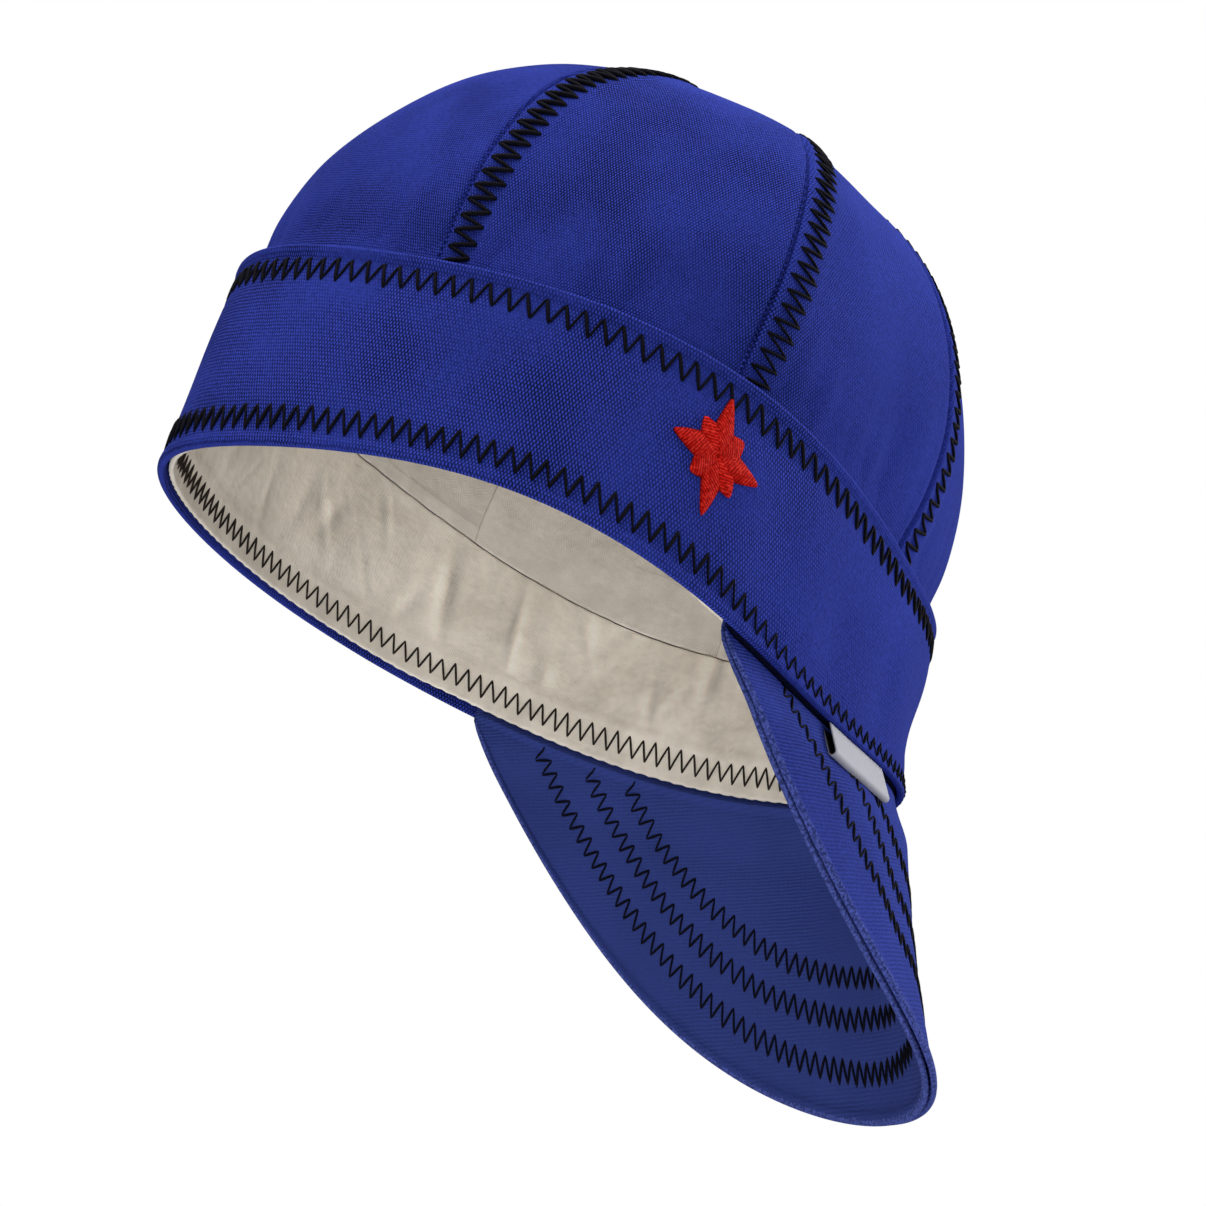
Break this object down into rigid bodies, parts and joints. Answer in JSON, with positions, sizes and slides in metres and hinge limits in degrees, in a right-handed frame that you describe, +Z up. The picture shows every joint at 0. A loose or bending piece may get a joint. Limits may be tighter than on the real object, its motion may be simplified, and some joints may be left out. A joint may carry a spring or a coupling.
{
  "type": "welding cap",
  "caption": "Soft lined work cap with a panelled canvas crown, a tall stitched band and a drooping two-ply brim.",
  "frame": {"origin": "centre of the head opening at rim level, where a head holds the cap", "axes": "+Z up through the crown, -Y out along the brim, +X to the wearer's left"},
  "size_m": [0.187, 0.2437, 0.2109],
  "materials": {
    "blue_canvas": "royal blue plain-woven cotton canvas, matt",
    "brim_canvas": "royal blue cotton canvas over a soft stiffener, matt",
    "lining_cotton": "cream unbleached muslin, matt",
    "tag_weave": "pale grey woven satin tape",
    "red_thread": "red embroidery thread with a silky sheen"
  },
  "bodies": {
    "root": {"crown_panel_front": "blue_canvas", "crown_panel_front_left": "blue_canvas", "crown_panel_back_left": "blue_canvas", "crown_panel_back": "blue_canvas", "crown_panel_back_right": "blue_canvas", "crown_panel_front_right": "blue_canvas", "crown_lining_front": "lining_cotton", "crown_lining_front_left": "lining_cotton", "crown_lining_back_left": "lining_cotton", "crown_lining_back": "lining_cotton", "crown_lining_back_right": "lining_cotton", "crown_lining_front_right": "lining_cotton", "band": "blue_canvas", "band_lining": "lining_cotton", "brim_outer": "brim_canvas", "brim_inner": "brim_canvas", "side_tag": "tag_weave", "emblem": "red_thread"}
  },
  "joints": []
}
